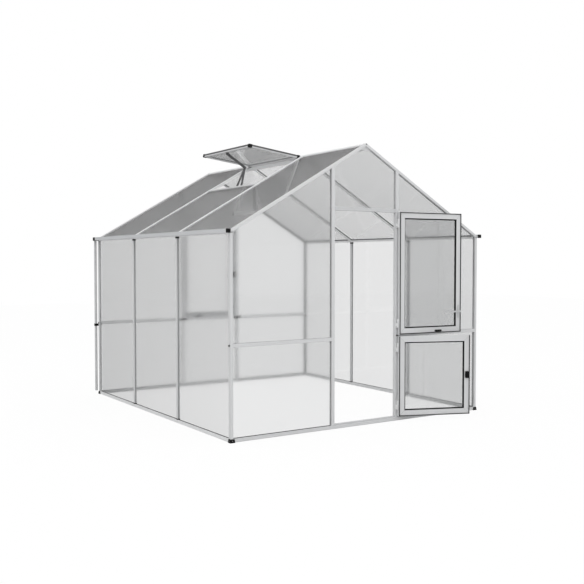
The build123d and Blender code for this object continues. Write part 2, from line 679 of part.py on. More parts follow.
nodes = {
    "front_sill": front_sill,
    "rear_sill": rear_sill,
    "side_sills": [right_sill, mirrored(right_sill)],
    "corner_feet": corner_feet,
    "corner_posts": corner_posts,
    "side_studs": side_studs,
    "stud_caps": stud_caps,
    "eaves_rails": eaves_rails,
    "left_rafters": left_rafters,
    "right_rafters": right_rafters,
    "ridge_beam": ridge_beam,
    "left_roof_bars": left_roof_bars,
    "right_roof_bars": right_roof_bars,
    "vent_sill": vent_sill,
    "door_jambs": door_jambs,
    "door_header": door_header,
    "front_mid_rails": front_mid_rails,
    "rear_posts": rear_posts,
    "rear_rails": rear_rails,
    "front_panes": front_panes,
    "rear_panes": rear_panes,
    "left_wall_panes": left_wall_panes,
    "right_wall_panes": right_wall_panes,
    "left_roof_panes": left_roof_panes,
    "right_roof_panes": right_roof_panes,
    "left_gutter": left_gutter,
    "right_gutter": right_gutter,
    "gutter_fittings": gutter_fittings,
    "downpipes": downpipes,
    "downpipe_clips": downpipe_clips,
    "vent_frame": vent_frame,
    "vent_pane": vent_pane,
    "vent_caps": vent_caps,
    "vent_hinge_rod": vent_hinge_rod,
    "vent_opener": vent_opener,
    "jamb_hinges": jamb_hinges,
    "upper_leaf_frame": swung(leaf_frame(upper_span), upper_rest_angle),
    "upper_leaf_pane": swung(leaf_pane(upper_span), upper_rest_angle),
    "upper_leaf_hinges": on_leaf(upper_hinges, upper_rest_angle),
    "upper_leaf_handle": swung(lever_handle(), upper_rest_angle),
    "upper_leaf_latch": swung(oval_latch(door_oval_share, door_oval_rise), upper_rest_angle),
    "lower_leaf_frame": swung(leaf_frame(lower_span), lower_rest_angle),
    "lower_leaf_pane": swung(leaf_pane(lower_span), lower_rest_angle),
    "lower_leaf_hinges": on_leaf(lower_hinges, lower_rest_angle),
    "lower_leaf_latch": swung(lower_latch, lower_rest_angle),
    "rear_window_frame": turned(shut * leaf_frame(upper_span)),
    "rear_window_pane": turned(shut * leaf_pane(upper_span)),
    "rear_window_hinges": [turned(piece) for piece in window_hinges],
    "rear_window_handle": turned(shut * window_handle),
    "rear_window_latch": turned(shut * window_latch),
}

os.makedirs("parts", exist_ok=True)
for name, pieces in nodes.items():
    save(name, pieces)
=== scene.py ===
import json
from functools import partial
from math import copysign, cos, pi, radians, sin, tan

import bmesh
import bpy
from mathutils import Matrix, Vector


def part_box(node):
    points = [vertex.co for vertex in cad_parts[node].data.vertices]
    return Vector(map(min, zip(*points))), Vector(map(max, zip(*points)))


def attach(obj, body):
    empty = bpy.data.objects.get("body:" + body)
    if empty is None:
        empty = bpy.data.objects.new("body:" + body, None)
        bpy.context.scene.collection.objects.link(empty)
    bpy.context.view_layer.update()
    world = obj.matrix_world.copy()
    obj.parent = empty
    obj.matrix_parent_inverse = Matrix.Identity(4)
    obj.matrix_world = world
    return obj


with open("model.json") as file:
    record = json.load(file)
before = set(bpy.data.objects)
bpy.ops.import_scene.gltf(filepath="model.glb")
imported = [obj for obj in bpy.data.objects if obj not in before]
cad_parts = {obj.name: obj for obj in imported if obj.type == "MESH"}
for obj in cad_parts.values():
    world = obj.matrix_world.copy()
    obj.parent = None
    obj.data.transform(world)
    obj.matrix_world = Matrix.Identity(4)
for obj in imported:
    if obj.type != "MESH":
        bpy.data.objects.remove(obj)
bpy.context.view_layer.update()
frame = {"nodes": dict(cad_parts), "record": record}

# Sills: extruded aluminium lengths that lie on the ground between the corner feet and carry the panes.
# Mill finish, silver grey and satin, with fine die lines along each length; the side sills' paler tone is
# painted light.
# All the aluminium of the house shares this finish, laid along the length of each bar.
silver_bright = (0.69, 0.695, 0.7, 1)
silver_dull = (0.622, 0.628, 0.635, 1)
# Painted light: the side sills get a paler copy of the aluminium, so their shaded inner faces read as lit.
side_sill_painted_light_bright = (0.84, 0.845, 0.85, 1)
side_sill_painted_light_dull = (0.77, 0.775, 0.78, 1)
mill_metallic = 0.1
die_line_detail = 3
die_line_strength = 0.12
die_line_depth = 0.0004
oxide_scale = 2.6
oxide_detail = 4
oxide_share = 0.45
oxide_low, oxide_high = 0.32, 0.68
dull_roughness, bright_roughness = 0.5, 0.36
along, across = 1.5, 260
along_x = (along, across, across)
along_y = (across, along, across)
along_z = (across, across, along)


def feed(tree, node, inputs):
    """Give a node its inputs: what comes from another node is linked, any other value is set."""
    for title, value in inputs.items():
        if isinstance(value, bpy.types.NodeSocket):
            tree.links.new(value, node.inputs[title])
        else:
            node.inputs[title].default_value = value
    return node


def add_node(tree, kind, inputs):
    """Add a shader node with its inputs."""
    return feed(tree, tree.nodes.new("ShaderNode" + kind), inputs)


def mixed_colour(tree, share, low, high):
    """A colour between two others, by a share that changes over the surface."""
    blend = tree.nodes.new("ShaderNodeMix")
    blend.data_type = "RGBA"
    return feed(tree, blend, {"Factor": share, "A": low, "B": high}).outputs["Result"]


def shader_group(name, inlets, outlets):
    """A shader group with named sockets, what comes into it and the node that takes what it puts out."""
    group = bpy.data.node_groups.new(name, "ShaderNodeTree")
    for sockets, side in ((inlets, "INPUT"), (outlets, "OUTPUT")):
        for title, kind in sockets.items():
            group.interface.new_socket(title, in_out=side, socket_type="NodeSocket" + kind)
    return group, group.nodes.new("NodeGroupInput").outputs, group.nodes.new("NodeGroupOutput")


def place_group(tree, group, inputs):
    """Place a shader group in a material with its own values, and give what it puts out."""
    placed = tree.nodes.new("ShaderNodeGroup")
    placed.node_tree = group
    return feed(tree, placed, inputs).outputs


def new_finish(name):
    """A new material and its shader tree."""
    material = bpy.data.materials.new(name)
    material.use_nodes = True
    return material, material.node_tree


def die_lines_group():
    """Shader group: streaks along a bar, cloudy oxide and a little roughness change."""
    group, inlet, outlet = shader_group(
        "die_lines", {"Along": "Vector", "Bright": "Color", "Dull": "Color"},
        {"Color": "Color", "Roughness": "Float", "Height": "Float"})
    place = group.nodes.new("ShaderNodeTexCoord").outputs["Object"]
    streaks = add_node(group, "TexNoise", {
        "Vector": inlet["Along"], "Scale": 1, "Detail": die_line_detail}).outputs["Fac"]
    clouds = add_node(group, "TexNoise", {
        "Vector": place, "Scale": oxide_scale, "Detail": oxide_detail}).outputs["Fac"]
    blend = add_node(group, "Mix", {"Factor": oxide_share, "A": streaks, "B": clouds}).outputs["Result"]
    spread = add_node(group, "MapRange", {
        "Value": blend, "From Min": oxide_low, "From Max": oxide_high}).outputs["Result"]
    rough = add_node(group, "MapRange", {
        "Value": spread, "To Min": dull_roughness, "To Max": bright_roughness}).outputs["Result"]
    feed(group, outlet, {
        "Color": mixed_colour(group, spread, inlet["Dull"], inlet["Bright"]),
        "Roughness": rough, "Height": streaks})
    return group


die_lines = die_lines_group()


def aluminium(name, lay, turn=(0, 0, 0), bright=silver_bright, dull=silver_dull, metallic=mill_metallic):
    """Mill-finish metal whose die lines run the way the bar was extruded."""
    material, tree = new_finish(name)
    place = tree.nodes.new("ShaderNodeTexCoord").outputs["Object"]
    laid = add_node(tree, "Mapping", {
        "Vector": place, "Rotation": [radians(angle) for angle in turn], "Scale": lay}).outputs["Vector"]
    lines = place_group(tree, die_lines, {"Along": laid, "Bright": bright, "Dull": dull})
    relief = add_node(tree, "Bump", {
        "Height": lines["Height"], "Strength": die_line_strength, "Distance": die_line_depth})
    feed(tree, tree.nodes["Principled BSDF"], {
        "Base Color": lines["Color"], "Roughness": lines["Roughness"],
        "Normal": relief.outputs["Normal"], "Metallic": metallic})
    return material


def dress(material, *names):
    """Give CAD pieces their finish."""
    for name in names:
        for place in frame["nodes"][name].material_slots:
            place.material = material


metal_x = aluminium("aluminium_across", along_x)
dress(metal_x, "front_sill", "rear_sill")
# The side sills wear the paler copy, painted light.
dress(aluminium("aluminium_side_sill_painted_light", along_y, bright=side_sill_painted_light_bright, dull=side_sill_painted_light_dull), "side_sills")

# Corner feet: black polymer boots pushed up round the four corners and screwed to the sills.
# The moulding has a fine pebbled grain and is a little paler where it is handled.
# The same polymer makes the other black fittings of the house.
coal = (0.004, 0.004, 0.0042, 1)
worn_coal = (0.011, 0.011, 0.0115, 1)
polymer_gloss = 0.25
pebble_scale = 900
pebble_strength = 0.25
pebble_depth = 0.0003
dust_scale = 24
dust_detail = 5
clean_roughness, dusty_roughness = 0.38, 0.62
head_shares = ((1, 0), (1, 0.45), (0.74, 1), (0.4, 1), (0.36, 0.4))
head_sides = 12
screw_radius, screw_height = 0.0032, 0.0018
screw_metallic = 0.8
foot_screw_up = 0.014
foot_screw_in = 0.012
foot_proud = 0.0045


def moulded_grain_group():
    """Shader group: pebbled moulding grain with soft dusty patches."""
    group, inlet, outlet = shader_group(
        "moulded_grain", {"Deep": "Color", "Worn": "Color"},
        {"Color": "Color", "Roughness": "Float", "Height": "Float"})
    place = group.nodes.new("ShaderNodeTexCoord").outputs["Object"]
    pebbles = add_node(group, "TexVoronoi", {"Vector": place, "Scale": pebble_scale}).outputs["Distance"]
    dust = add_node(group, "TexNoise", {
        "Vector": place, "Scale": dust_scale, "Detail": dust_detail}).outputs["Fac"]
    rough = add_node(group, "MapRange", {
        "Value": dust, "To Min": clean_roughness, "To Max": dusty_roughness}).outputs["Result"]
    feed(group, outlet, {
        "Color": mixed_colour(group, dust, inlet["Deep"], inlet["Worn"]),
        "Roughness": rough, "Height": pebbles})
    return group


moulded_grain = moulded_grain_group()


def moulded(name, deep, worn, gloss=polymer_gloss):
    """Moulded polymer or rubber in a deep and a worn tone."""
    material, tree = new_finish(name)
    grain = place_group(tree, moulded_grain, {"Deep": deep, "Worn": worn})
    relief = add_node(tree, "Bump", {
        "Height": grain["Height"], "Strength": pebble_strength, "Distance": pebble_depth})
    feed(tree, tree.nodes["Principled BSDF"], {
        "Base Color": grain["Color"], "Roughness": grain["Roughness"],
        "Normal": relief.outputs["Normal"], "Specular IOR Level": gloss})
    return material


def mesh_piece(name, shape, material, body):
    """Turn a finished shape into a piece that rides on a body and takes a slot's finish."""
    bmesh.ops.recalc_face_normals(shape, faces=shape.faces)
    mesh = bpy.data.meshes.new(name)
    shape.to_mesh(mesh)
    shape.free()
    mesh.materials.append(material)
    piece = bpy.data.objects.new(name, mesh)
    bpy.context.scene.collection.objects.link(piece)
    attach(piece, body)


def closed_rings(shape, rings):
    """Add a skin that runs from ring to ring of points and is closed at both ends."""
    loops = [[shape.verts.new(point) for point in ring] for ring in rings]
    count = len(loops[0])
    for one, two in zip(loops, loops[1:]):
        for index in range(count):
            after = (index + 1) % count
            shape.faces.new((one[index], one[after], two[after], two[index]))
    shape.faces.new(loops[0])
    shape.faces.new(loops[-1])


def fixings(name, places, radius, height, material, body):
    """One piece of domed, socketed heads, each given as a point on a face and the way that face looks."""
    shape = bmesh.new()
    angles = [2 * pi * step / head_sides for step in range(head_sides)]
    for centre, normal in places:
        normal = Vector(normal)
        first = normal.orthogonal().normalized()
        second = normal.cross(first)
        spokes = [first * cos(angle) + second * sin(angle) for angle in angles]
        closed_rings(shape, [
            [Vector(centre) + spoke * radius * reach + normal * height * lift for spoke in spokes]
            for reach, lift in head_shares])
    mesh_piece(name, shape, material, body)


black_polymer = moulded("black_polymer", coal, worn_coal)
dress(black_polymer, "corner_feet")
post_low, post_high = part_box("corner_posts")
left, right = post_low.x, post_high.x
front, rear = post_low.y, post_high.y
foot_screws = []
for x, turn_x in ((left, 1), (right, -1)):
    for y, turn_y in ((front, 1), (rear, -1)):
        on_gable = (x + turn_x * foot_screw_in, y - turn_y * foot_proud, foot_screw_up)
        on_side = (x - turn_x * foot_proud, y + turn_y * foot_screw_in, foot_screw_up)
        foot_screws += [(on_gable, (0, -turn_y, 0)), (on_side, (-turn_x, 0, 0))]
bright_steel = aluminium("bright_screws", (across, across, across), metallic=screw_metallic)
fixings("foot_screws", foot_screws, screw_radius, screw_height, bright_steel, "house")

# Wall frame: grooved aluminium posts, studs, jambs and rails that stand on the sills and carry the roof.
# The door header is a darker grey than the rest; the rear bars are paler, painted light on their shaded inner
# faces; black shoes end the studs.
# Black capped bolts hold the ends of the mid rails through the posts and the door jamb.
header_bright = (0.605, 0.612, 0.62, 1)
header_dull = (0.547, 0.553, 0.56, 1)
# Painted light: the rear bars get a paler copy of the aluminium, so their inner faces, seen through the
# panes, read as lit.
rear_painted_light_bright = (0.9, 0.905, 0.91, 1)
rear_painted_light_dull = (0.84, 0.845, 0.85, 1)
post_depth = 0.032
jamb_face = 0.028
bolt_cap_radius, bolt_cap_height = 0.0075, 0.0075
metal_z = aluminium("aluminium_upright", along_z)
dress(metal_z, "corner_posts", "side_studs", "door_jambs")
dress(metal_x, "front_mid_rails")
dress(aluminium("aluminium_header", along_x, bright=header_bright, dull=header_dull), "door_header")
# The rear posts and rails wear the paler copy, painted light.
dress(aluminium("aluminium_rear_painted_light_upright", along_z, bright=rear_painted_light_bright, dull=rear_painted_light_dull), "rear_posts")
dress(aluminium("aluminium_rear_painted_light_across", along_x, bright=rear_painted_light_bright, dull=rear_painted_light_dull), "rear_rails")
dress(black_polymer, "stud_caps")
rail_low, rail_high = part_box("front_mid_rails")
rail_middle = (rail_low.z + rail_high.z) / 2
jamb_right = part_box("door_jambs")[1].x
bolt_caps = [((jamb_right - jamb_face / 2, front, rail_middle), (0, -1, 0))]
for x, way in ((left, -1), (right, 1)):
    for y in (front + post_depth / 2, rear - post_depth / 2):
        bolt_caps.append(((x, y, rail_middle), (way, 0, 0)))
fixings("rail_bolt_caps", bolt_caps, bolt_cap_radius, bolt_cap_height, black_polymer,
        "house")

# Roof frame: mitred gable rafters, roof bars, ridge beam and eaves rails, bolted at ridge and eaves.
# The same aluminium as the walls, with the die lines following each slope; all but the rafters are brighter,
# a painted highlight on the roof bars and painted light on the ridge beam and eaves rails.
# A bolt head shows on each foot of the gable rafters and on the mitre, over a three-cornered gusset.
roof_pitch = 30
# A brighter copy of the aluminium: painted highlight on the roof bars, painted light on the shaded ridge beam
# and eaves rails.
bar_painted_light_bright = (0.95, 0.955, 0.96, 1)
bar_painted_light_dull = (0.88, 0.885, 0.89, 1)
bolt_bright = (0.16, 0.16, 0.165, 1)
bolt_dull = (0.1, 0.1, 0.103, 1)
bolt_metallic = 0.3
bolt_radius, bolt_height = 0.005, 0.003
foot_bolt_in = 0.013
foot_bolt_drop = 0.006
ridge_bolt_drop = 0.008
gusset_half = 0.058
gusset_thick = 0.0035
rafter_tall = 0.021
# The roof bars wear the brighter copy as a painted highlight.
for side, turn in (("left", (0, roof_pitch, 0)), ("right", (0, -roof_pitch, 0))):
    dress(aluminium(f"aluminium_{side}_slope", along_x, turn), f"{side}_rafters")
    dress(aluminium(f"aluminium_{side}_bars", along_x, turn, bar_painted_light_bright, bar_painted_light_dull), f"{side}_roof_bars")
# The ridge beam and eaves rails wear the brighter copy as painted light.
dress(aluminium("aluminium_ridge_painted_light", along_y, bright=bar_painted_light_bright, dull=bar_painted_light_dull), "ridge_beam", "eaves_rails")
rafter_low, rafter_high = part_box("left_rafters")
rafter_bolts = []
for y, way in ((front, -1), (rear, 1)):
    for x in (left + foot_bolt_in, right - foot_bolt_in):
        rafter_bolts.append(((x, y, rafter_low.z + post_depth / 2 - foot_bolt_drop), (0, way, 0)))
    rafter_bolts.append(((0, y, rafter_high.z - ridge_bolt_drop), (0, way, 0)))
dark_steel = aluminium("dark_bolts", (across, across, across), bright=bolt_bright, dull=bolt_dull,
                       metallic=bolt_metallic)
fixings("rafter_bolts", rafter_bolts, bolt_radius, bolt_height, dark_steel, "house")
gusset_top = rafter_high.z - rafter_tall / cos(radians(roof_pitch))
gusset_low = gusset_top - gusset_half * tan(radians(roof_pitch))
gusset_outline = ((-gusset_half, gusset_low), (gusset_half, gusset_low), (0, gusset_top))
front_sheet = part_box("front_panes")[0].y
rear_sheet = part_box("rear_panes")[1].y
shape = bmesh.new()
for faces in ((front_sheet - gusset_thick, front_sheet), (rear_sheet, rear_sheet + gusset_thick)):
    closed_rings(shape, [[(x, y, z) for x, z in gusset_outline] for y in faces])
mesh_piece("ridge_gussets", shape, metal_x, "house")

# Gutters and downpipes: open aluminium troughs along the eaves, a shade darker than the posts, with moulded
# end caps at the front. At the rear a moulded box leads into a light grey extruded pipe, which a black clip
# holds to the post by one screw.
trough_bright = (0.62, 0.632, 0.645, 1)
trough_dull = (0.56, 0.57, 0.582, 1)
pipe_pale = (0.58, 0.585, 0.59, 1)
pipe_dull = (0.5, 0.505, 0.51, 1)
pipe_gloss = 0.4
clip_screw_in = 0.012
clip_plate = 0.004
trough_metal = aluminium("aluminium_trough", along_y, bright=trough_bright, dull=trough_dull)
dress(trough_metal, "left_gutter", "right_gutter")
dress(black_polymer, "gutter_fittings", "downpipe_clips")
dress(moulded("pipe_grey", pipe_dull, pipe_pale, pipe_gloss), "downpipes")
clip_low, clip_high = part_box("downpipe_clips")
clip_middle = (clip_low.z + clip_high.z) / 2
clip_screws = []
for x in (left + clip_screw_in, right - clip_screw_in):
    clip_screws.append(((x, rear + clip_plate, clip_middle), (0, 1, 0)))
fixings("clip_screws", clip_screws, screw_radius, screw_height, bright_steel, "house")

# Panes: four millimetre sheets held in the grooves of the bars, with faint upright drawing lines and a light
# haze that softens what stands behind them. The roof sheets have a polished skin that mirrors the vent.
# Shadow rays pass, so the room is lit as through real sheets. The upper door sheet's darker tint is painted
# shade and the lower sheet's lighter tint is painted light.
white = (1, 1, 1, 1)
flute, run = 125, 0.6
wall_lay = (flute, flute, run)
roof_lay = (run, flute, run)
drawing_detail = 2
wall_haze = (0.055, 0.08)
roof_haze = (0.11, 0.14)
roof_polish = 0.8
polish_roughness = 0.02
sheet_ior = 1.47
gable_clear = (0.888, 0.891, 0.892, 1)
gable_streak = (0.865, 0.868, 0.87, 1)
side_clear = (0.872, 0.874, 0.875, 1)
side_streak = (0.848, 0.85, 0.852, 1)
roof_clear = (0.975, 0.978, 0.98, 1)
roof_streak = (0.95, 0.953, 0.955, 1)
# The door leaf tints are painted shade on the upper sheet and painted light on the lower one.
upper_leaf_painted_shade_clear = (0.815, 0.818, 0.819, 1)
upper_leaf_painted_shade_streak = (0.79, 0.793, 0.795, 1)
lower_leaf_painted_light_clear = (0.955, 0.957, 0.958, 1)
lower_leaf_painted_light_streak = (0.915, 0.917, 0.918, 1)


def drawing_lines_group():
    """Shader group: faint lines one way in a sheet, which change its tint and its haze."""
    group, inlet, outlet = shader_group(
        "drawing_lines",
        {"Along": "Vector", "Clear": "Color", "Streak": "Color", "Haze Low": "Float", "Haze High": "Float"},
        {"Color": "Color", "Roughness": "Float"})
    lines = add_node(group, "TexNoise", {
        "Vector": inlet["Along"], "Scale": 1, "Detail": drawing_detail}).outputs["Fac"]
    haze = add_node(group, "MapRange", {
        "Value": lines, "To Min": inlet["Haze Low"], "To Max": inlet["Haze High"]}).outputs["Result"]
    feed(group, outlet, {
        "Color": mixed_colour(group, lines, inlet["Streak"], inlet["Clear"]), "Roughness": haze})
    return group


drawing_lines = drawing_lines_group()


def pane_finish(name, lay, clear, streak, haze, polish=0):
    """Hazy clear sheet with drawing lines one way, and a share of polished skin."""
    material, tree = new_finish(name)
    place = tree.nodes.new("ShaderNodeTexCoord").outputs["Object"]
    laid = add_node(tree, "Mapping", {"Vector": place, "Scale": lay}).outputs["Vector"]
    lines = place_group(tree, drawing_lines, {
        "Along": laid, "Clear": clear, "Streak": streak, "Haze Low": haze[0], "Haze High": haze[1]})
    sheet = feed(tree, tree.nodes["Principled BSDF"], {
        "Base Color": lines["Color"], "Roughness": lines["Roughness"], "Transmission Weight": 1,
        "IOR": sheet_ior, "Coat Weight": polish, "Coat Roughness": polish_roughness})
    open_way = add_node(tree, "BsdfTransparent", {"Color": white})
    path = tree.nodes.new("ShaderNodeLightPath")
    surface = add_node(tree, "MixShader", {
        "Fac": path.outputs["Is Shadow Ray"], 1: sheet.outputs["BSDF"], 2: open_way.outputs["BSDF"]})
    feed(tree, tree.nodes["Material Output"], {"Surface": surface.outputs["Shader"]})
    return material


gable_pane = pane_finish("gable_pane", wall_lay, gable_clear, gable_streak, wall_haze)
side_pane = pane_finish("side_pane", wall_lay, side_clear, side_streak, wall_haze)
roof_pane = pane_finish("roof_pane", roof_lay, roof_clear, roof_streak, roof_haze, roof_polish)
# Upper and lower door sheets: separate tints as painted shade and painted light.
upper_pane = pane_finish("upper_leaf_sheet_painted_shade", wall_lay, upper_leaf_painted_shade_clear, upper_leaf_painted_shade_streak, wall_haze)
lower_pane = pane_finish("lower_leaf_sheet_painted_light", wall_lay, lower_leaf_painted_light_clear, lower_leaf_painted_light_streak, wall_haze)
dress(gable_pane, "front_panes", "rear_panes", "rear_window_pane")
dress(upper_pane, "upper_leaf_pane")
dress(lower_pane, "lower_leaf_pane")
dress(side_pane, "left_wall_panes", "right_wall_panes")
dress(roof_pane, "left_roof_panes", "right_roof_panes", "vent_pane")

# Glazing seals: rubber beads pressed in between the sheets and the bars, mitred at the corners; the grey
# beads are partly painted shade, standing in for the shade in the reveals beside the bars.
# A gable sheet has a ring on its outer face and a side sheet slim upright beads; both stand in foot beads
# along the sills. The roof sheets are bedded on a bead along the bars and the eaves rail under them.
rubber_dark = (0.03, 0.03, 0.031, 1)
rubber_dark_worn = (0.05, 0.05, 0.051, 1)
# The grey rubber is partly painted shade: its tone stands in for the shade in the glazing reveals.
rubber_grey_and_painted_shade = (0.13, 0.13, 0.132, 1)
rubber_grey_and_painted_shade_worn = (0.19, 0.19, 0.192, 1)
sheet_bite = 0.006
bead_tuck = 0.001
bead_start = sheet_bite - bead_tuck
eaves_seat = 0.0167
gable_bead = (0.003, 0.003, 0.0015)
gable_foot_bead = (0.005, 0.003, 0.0015)
side_bead = (0.003, 0.0015, 0.001)
side_foot_bead = (0.006, 0.0015, 0.001)
roof_bead = (0.005, 0.006, 0.002)
weld_gap = 1e-6
face_tolerance = 1e-4
sharpest_mitre = 0.2
sill_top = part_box("front_sill")[1].z
house_middle = Vector((0, (front + rear) / 2, 0))


def centre_of(points):
    """The middle of some points."""
    return sum(points, Vector()) / len(points)


def sheets_of(name):
    """The corners of each sheet in a CAD node, as two rings of points, one for each face."""
    shape = bmesh.new()
    shape.from_mesh(frame["nodes"][name].data)
    bmesh.ops.remove_doubles(shape, verts=shape.verts, dist=weld_gap)
    visited = set()
    sheets = []
    for start in shape.verts:
        if start in visited:
            continue
        island = [start]
        visited.add(start)
        for corner in island:
            near = [edge.other_vert(corner) for edge in corner.link_edges]
            island += [vert for vert in near if vert not in visited]
            visited.update(near)
        skins = [face for corner in island for face in corner.link_faces]
        normal = max(skins, key=lambda face: face.calc_area()).normal.copy()
        depths = [corner.co.dot(normal) for corner in island]
        faces = []
        for side, level in ((1, max(depths)), (-1, min(depths))):
            points = [corner.co.copy() for corner in island
                      if abs(corner.co.dot(normal) - level) < face_tolerance]
            middle = centre_of(points)
            first = (points[0] - middle).normalized()
            second = normal.cross(first)
            points.sort(key=lambda point: Vector((1, 0)).angle_signed(
                Vector(((point - middle).dot(first), (point - middle).dot(second)))))
            faces.append((points, normal * side))
        sheets.append(faces)
    shape.free()
    return sheets


def inset(points, normal, amount):
    """The outline moved inwards by an amount, mitred at its corners."""
    middle = centre_of(points)
    moved = []
    count = len(points)
    for index, point in enumerate(points):
        before = (point - points[index - 1]).normalized()
        after = (points[(index + 1) % count] - point).normalized()
        inward = []
        for way in (before, after):
            square = normal.cross(way).normalized()
            inward.append(square if square.dot(middle - point) > 0 else -square)
        mitre = (inward[0] + inward[1]).normalized()
        moved.append(point + mitre * (amount / max(mitre.dot(inward[0]), sharpest_mitre)))
    return moved


def bead_ring(shape, points, normal, bead, wanted):
    """Add one mitred bead on a sheet's face, along those of its edges that are wanted.

    A bead is its width, its height at the bar and its height at the lip.
    """
    width, height, lip = bead
    outer = inset(points, normal, bead_start)
    inner = inset(points, normal, bead_start + width)
    section = ((outer, 0), (outer, height), (inner, lip), (inner, 0))
    rings = [[shape.verts.new(point + normal * lift) for point in outline] for outline, lift in section]
    count = len(points)
    laid = [wanted(points[index], points[(index + 1) % count]) for index in range(count)]
    for index in range(count):
        if not laid[index]:
            continue
        after = (index + 1) % count
        for one, two in zip(rings, rings[1:] + rings[:1]):
            shape.faces.new((one[index], one[after], two[after], two[index]))
        if not laid[index - 1]:
            shape.faces.new([ring[index] for ring in rings])
        if not laid[after]:
            shape.faces.new([ring[after] for ring in rings])
    for corner in [corner for ring in rings for corner in ring if not corner.link_faces]:
        shape.verts.remove(corner)


def all_round(one, two):
    """Every edge of a sheet."""
    return True


def at_foot(one, two):
    """The edge of a wall sheet that stands in a sill."""
    return max(one.z, two.z) < sill_top


def above_foot(one, two):
    """Every edge of a wall sheet but the one in a sill."""
    return not at_foot(one, two)


def upright(one, two):
    """The standing edges of a wall sheet."""
    return abs(two.z - one.z) > abs(two.y - one.y)


def below_ridge(one, two):
    """The edges of a roof sheet along its bars and its foot."""
    return min(abs(one.x), abs(two.x)) > post_depth or abs(two.x - one.x) > post_depth


def both_faces(points, normal):
    """Either face of a sheet."""
    return True


def outer_face(points, normal):
    """The outer face of a wall sheet; the sheet over a door or window has no bead there."""
    middle = centre_of(points)
    return normal.dot(middle - house_middle) > 0 and abs(middle.x) > jamb_face


def seals(name, node, body, bead, rubber, edges=all_round, faces=both_faces):
    """One piece of beads on the wanted edges and faces of the sheets in a node."""
    shape = bmesh.new()
    for sheet in sheets_of(node):
        for points, normal in sheet:
            if faces(points, normal):
                bead_ring(shape, points, normal, bead, edges)
    mesh_piece(name, shape, rubber, body)


def bedding(name, node):
    """One piece of beads under the roof sheets of a node; at the eaves they stop against the rail."""
    shape = bmesh.new()
    for sheet in sheets_of(node):
        for points, normal in sheet:
            if normal.z > 0:
                continue
            for point in points:
                spare = max(abs(point.x) - right + eaves_seat, 0)
                point.z += spare * tan(radians(roof_pitch))
                point.x -= copysign(spare, point.x)
            bead_ring(shape, points, normal, roof_bead, below_ridge)
    mesh_piece(name, shape, dark_rubber, "house")


dark_rubber = moulded("dark_rubber", rubber_dark, rubber_dark_worn)
# Grey rubber, partly painted shade for the reveals beside the bars.
grey_rubber_and_painted_shade = moulded("grey_rubber_and_painted_shade", rubber_grey_and_painted_shade, rubber_grey_and_painted_shade_worn)
for wall in ("front", "rear"):
    panes = wall + "_panes"
    seals(wall + "_seals", panes, "house", gable_bead, grey_rubber_and_painted_shade, above_foot, outer_face)
    seals(wall + "_foot_seals", panes, "house", gable_foot_bead, dark_rubber, at_foot)
for wall, rubber in (("left_wall", dark_rubber), ("right_wall", grey_rubber_and_painted_shade)):
    panes = wall + "_panes"
    seals(wall + "_seals", panes, "house", side_bead, grey_rubber_and_painted_shade, upright, outer_face)
    seals(wall + "_foot_seals", panes, "house", side_foot_bead, rubber, at_foot)
for slope in ("left_roof", "right_roof"):
    bedding(slope + "_seals", slope + "_panes")

# Roof vent: a framed lid hinged on a rod at the ridge and held up by a dark grey folding opener.
# The frame is aluminium with black moulded corners; a grey strip runs round the upper half of its edge.
opener_grey = (0.09, 0.09, 0.092, 1)
opener_worn = (0.14, 0.14, 0.143, 1)
vent_bead = (0.004, 0.003, 0.002)
lid_rise = radians(7.1)
lid_from, lid_to = 0.00525, 0.52025
lid_half = 0.428
lid_top = 0.006
strip_tall = 0.013
strip_thick = 0.0012
cap_size = 0.026
grey_polymer = moulded("grey_polymer", opener_grey, opener_worn)
dress(aluminium("aluminium_lengthways", along_y), "vent_sill", "vent_hinge_rod", "vent_frame")
dress(black_polymer, "vent_caps")
dress(grey_polymer, "vent_opener")
seals("vent_seal", "vent_pane", "house", vent_bead, grey_rubber_and_painted_shade)
rod_low, rod_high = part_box("vent_hinge_rod")
rod = (rod_low + rod_high) / 2


def lid_point(down, out, up):
    """A place on the lid: down from the rod, sideways from its middle and up from its plane."""
    slope = Vector((-cos(lid_rise), 0, sin(lid_rise)))
    lift = Vector((sin(lid_rise), 0, cos(lid_rise)))
    return rod + slope * down + Vector((0, out, 0)) + lift * up


def lid_block(shape, down, out, up):
    """Add a box in the lid's own directions, each given as a pair of limits."""
    plan = ((down[0], out[0]), (down[1], out[0]), (down[1], out[1]), (down[0], out[1]))
    closed_rings(shape, [[lid_point(*spot, level) for spot in plan] for level in up])


shape = bmesh.new()
strip_up = (lid_top - strip_tall, lid_top)
for side in (-1, 1):
    reach = sorted((side * lid_half, side * (lid_half + strip_thick)))
    lid_block(shape, (lid_from + cap_size, lid_to - cap_size), reach, strip_up)
lid_block(shape, (lid_to, lid_to + strip_thick), (cap_size - lid_half, lid_half - cap_size), strip_up)
mesh_piece("vent_edge_strip", shape, grey_polymer, "house")

